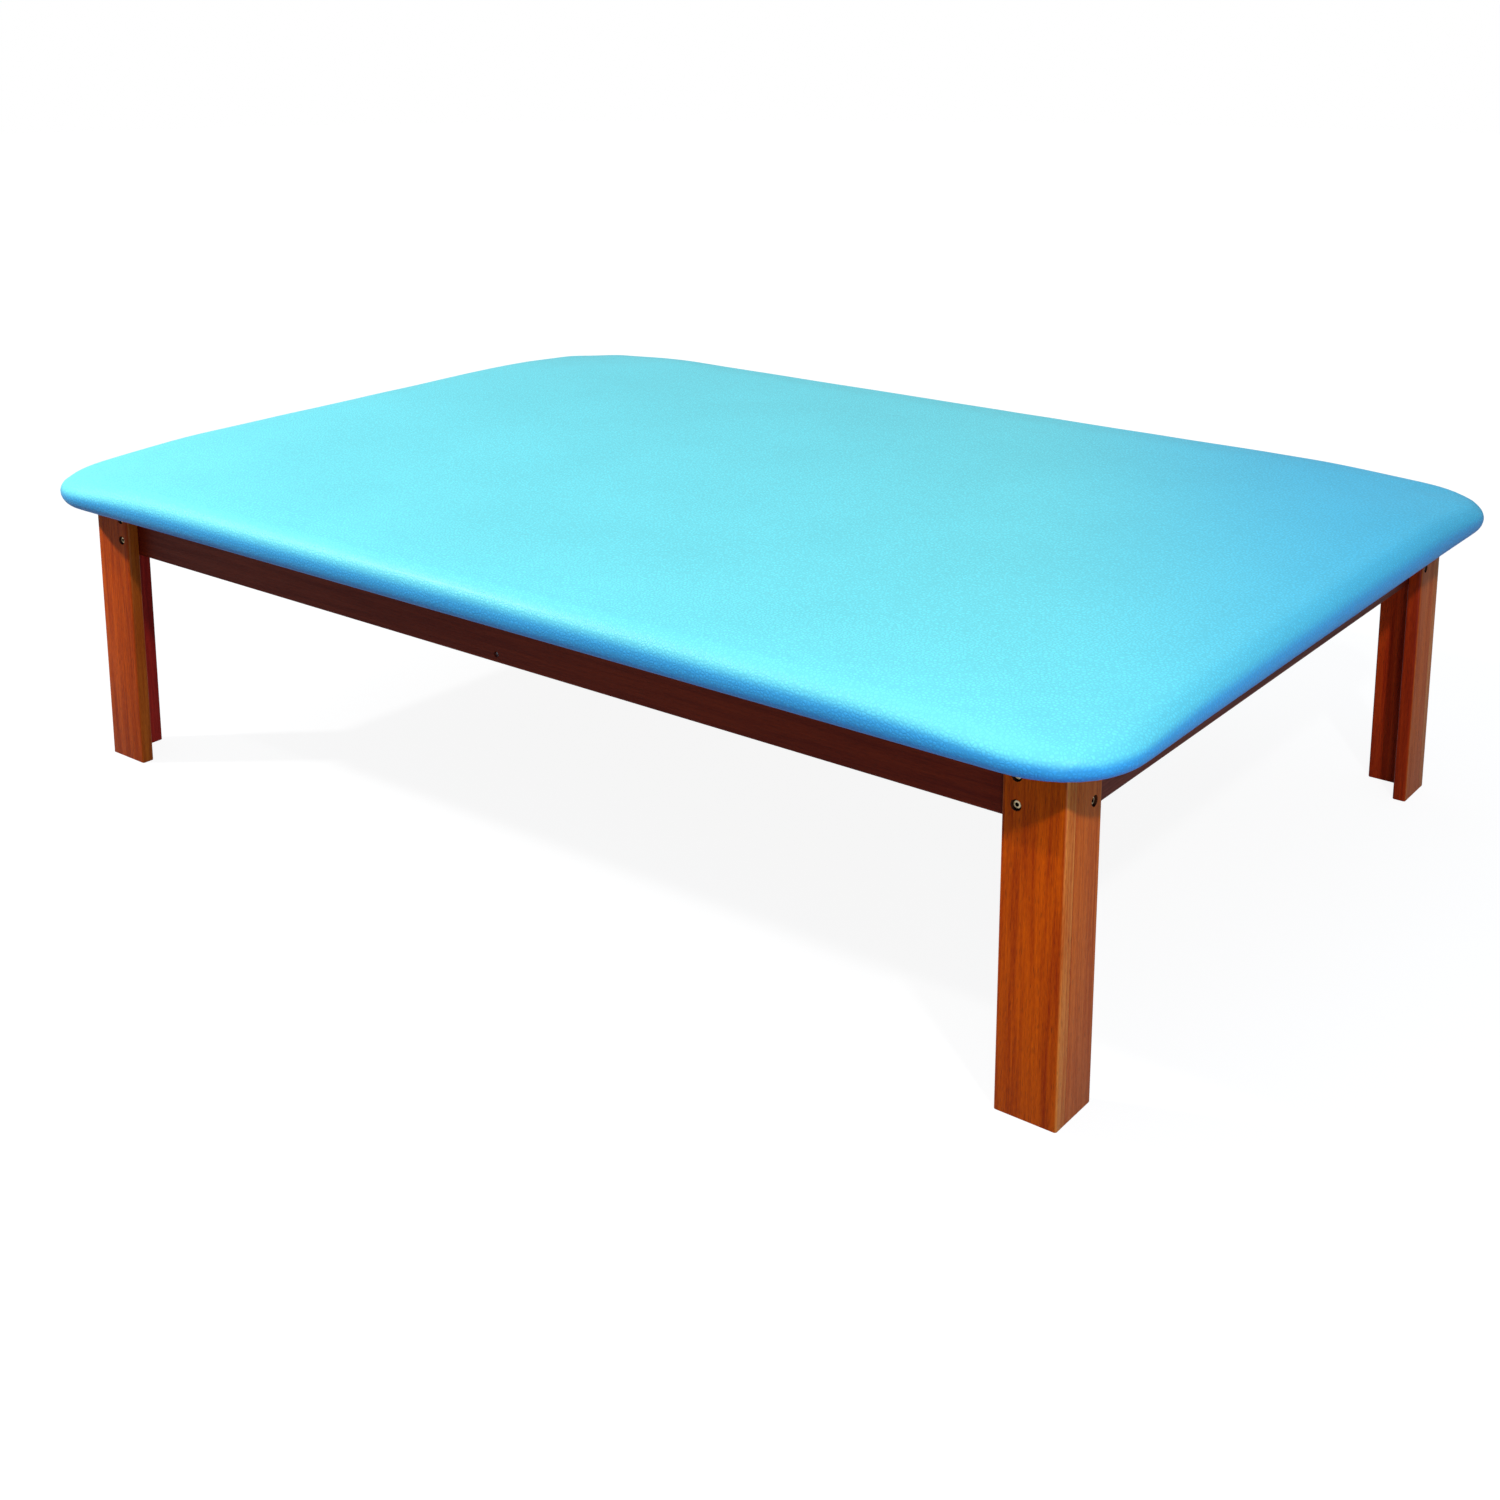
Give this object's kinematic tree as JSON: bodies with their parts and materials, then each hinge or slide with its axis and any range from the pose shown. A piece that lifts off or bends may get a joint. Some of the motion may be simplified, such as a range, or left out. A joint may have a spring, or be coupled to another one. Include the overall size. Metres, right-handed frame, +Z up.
{
  "type": "bobath therapy table",
  "caption": "Low, wide therapy table: a padded vinyl top with rolled edges on a bolted timber frame with L-section board legs.",
  "frame": {"origin": "on the floor under the middle of the padded top", "axes": "+X along the table's length, +Y across its width, +Z up"},
  "size_m": [2, 1.4, 0.5231],
  "materials": {
    "vinyl": "satin, finely grained",
    "foam": "open cell",
    "plywood": "sanded",
    "hardwood": "stained and varnished",
    "bolt_steel": "nickel plated",
    "zinc_steel": "zinc plated"
  },
  "bodies": {
    "root": {"cross_rail": "hardwood", "cross_rail_front_lower_screw": "zinc_steel", "cross_rail_front_upper_screw": "zinc_steel", "cross_rail_rear_lower_screw": "zinc_steel", "cross_rail_rear_upper_screw": "zinc_steel", "foam_pad": "foam", "front_apron": "hardwood", "front_bracket_1": "zinc_steel", "front_bracket_2": "zinc_steel", "front_left_leg_front_board": "hardwood", "front_left_leg_front_lower_bolt": "bolt_steel", "front_left_leg_front_lower_nut": "zinc_steel", "front_left_leg_front_upper_bolt": "bolt_steel", "front_left_leg_front_upper_nut": "zinc_steel", "front_left_leg_side_board": "hardwood", "front_left_leg_side_lower_bolt": "bolt_steel", "front_left_leg_side_lower_nut": "zinc_steel", "front_left_leg_side_upper_bolt": "bolt_steel", "front_left_leg_side_upper_nut": "zinc_steel", "front_right_leg_front_board": "hardwood", "front_right_leg_front_lower_bolt": "bolt_steel", "front_right_leg_front_lower_nut": "zinc_steel", "front_right_leg_front_upper_bolt": "bolt_steel", "front_right_leg_front_upper_nut": "zinc_steel", "front_right_leg_side_board": "hardwood", "front_right_leg_side_lower_bolt": "bolt_steel", "front_right_leg_side_lower_nut": "zinc_steel", "front_right_leg_side_upper_bolt": "bolt_steel", "front_right_leg_side_upper_nut": "zinc_steel", "left_apron": "hardwood", "left_bracket": "zinc_steel", "rear_apron": "hardwood", "rear_bracket_1": "zinc_steel", "rear_bracket_2": "zinc_steel", "rear_left_leg_rear_board": "hardwood", "rear_left_leg_rear_lower_bolt": "bolt_steel", "rear_left_leg_rear_lower_nut": "zinc_steel", "rear_left_leg_rear_upper_bolt": "bolt_steel", "rear_left_leg_rear_upper_nut": "zinc_steel", "rear_left_leg_side_board": "hardwood", "rear_left_leg_side_lower_bolt": "bolt_steel", "rear_left_leg_side_lower_nut": "zinc_steel", "rear_left_leg_side_upper_bolt": "bolt_steel", "rear_left_leg_side_upper_nut": "zinc_steel", "rear_right_leg_rear_board": "hardwood", "rear_right_leg_rear_lower_bolt": "bolt_steel", "rear_right_leg_rear_lower_nut": "zinc_steel", "rear_right_leg_rear_upper_bolt": "bolt_steel", "rear_right_leg_rear_upper_nut": "zinc_steel", "rear_right_leg_side_board": "hardwood", "rear_right_leg_side_lower_bolt": "bolt_steel", "rear_right_leg_side_lower_nut": "zinc_steel", "rear_right_leg_side_upper_bolt": "bolt_steel", "rear_right_leg_side_upper_nut": "zinc_steel", "right_apron": "hardwood", "right_bracket": "zinc_steel", "top_panel": "plywood", "vinyl_cover": "vinyl"}
  },
  "joints": []
}
